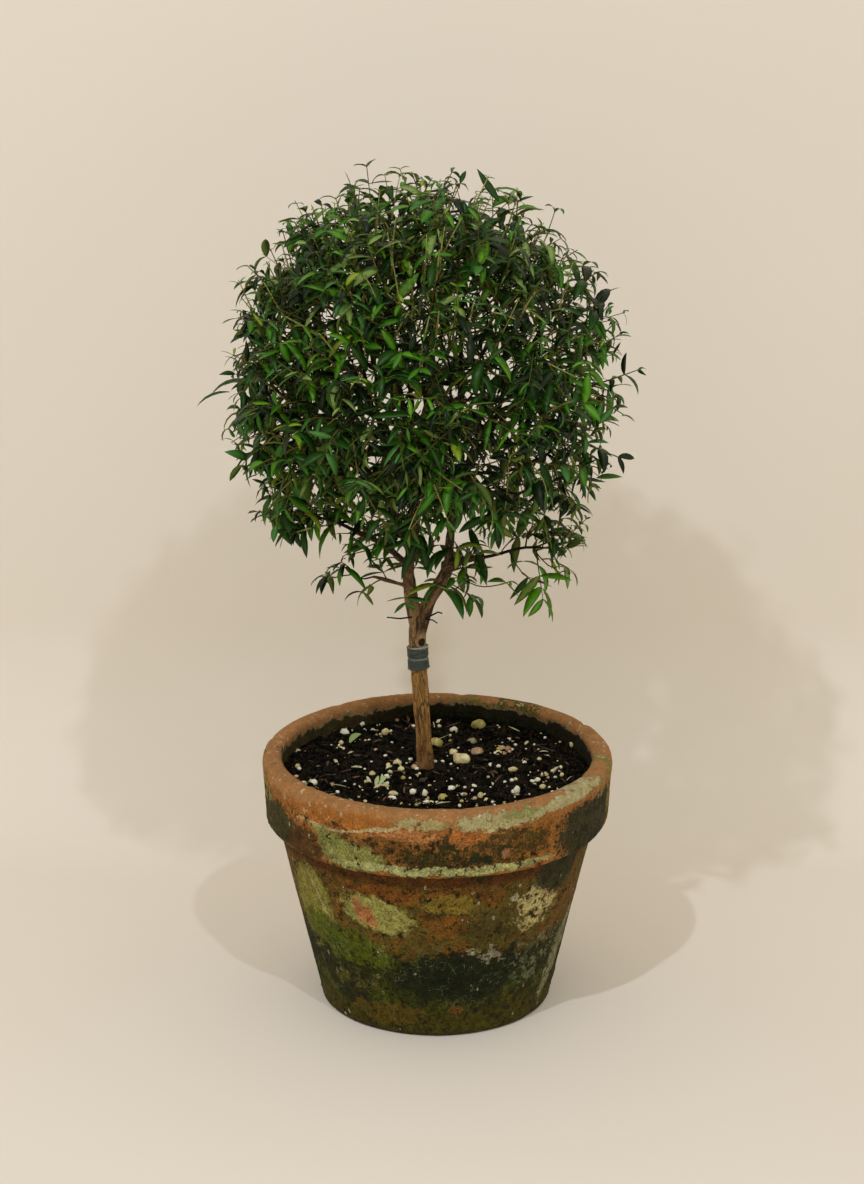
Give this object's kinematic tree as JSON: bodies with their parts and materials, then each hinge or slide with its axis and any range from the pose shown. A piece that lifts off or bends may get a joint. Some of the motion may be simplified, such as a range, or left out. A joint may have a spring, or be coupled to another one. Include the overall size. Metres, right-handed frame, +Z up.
{
  "type": "standard lollipop topiary",
  "caption": "Potted topiary shrub with one bare stem under a clipped ball of small evergreen leaves, in a weathered rimmed clay pot filled with soil.",
  "frame": {"origin": "centre of the pot's flat underside, where it stands", "axes": "+Z up along the pot's axis towards the crown; the plant is seen from the front looking along +Y, with +X to the right"},
  "size_m": [0.2441, 0.2416, 0.4961],
  "materials": {
    "clay": "matte",
    "potting_soil": "matte",
    "bark": "matte",
    "dark_bark": "matte",
    "tie_tape": "satin",
    "leaves": "satin",
    "deep_leaves": "satin"
  },
  "bodies": {
    "root": {"pot": "clay", "soil": "potting_soil", "trunk": "bark", "tie": "tie_tape", "leader": "dark_bark", "bough_left_upper": "dark_bark", "bough_left": "dark_bark", "twig_left_low": "dark_bark", "bough_back": "dark_bark", "bough_right": "dark_bark", "bough_right_upper": "dark_bark", "bough_shelf": "dark_bark", "foliage_ball": "leaves", "foliage_shelf_right": "deep_leaves", "foliage_skirt_left": "deep_leaves", "foliage_skirt_back": "deep_leaves", "foliage_spray_left": "deep_leaves", "foliage_spray_right": "deep_leaves"}
  },
  "joints": []
}
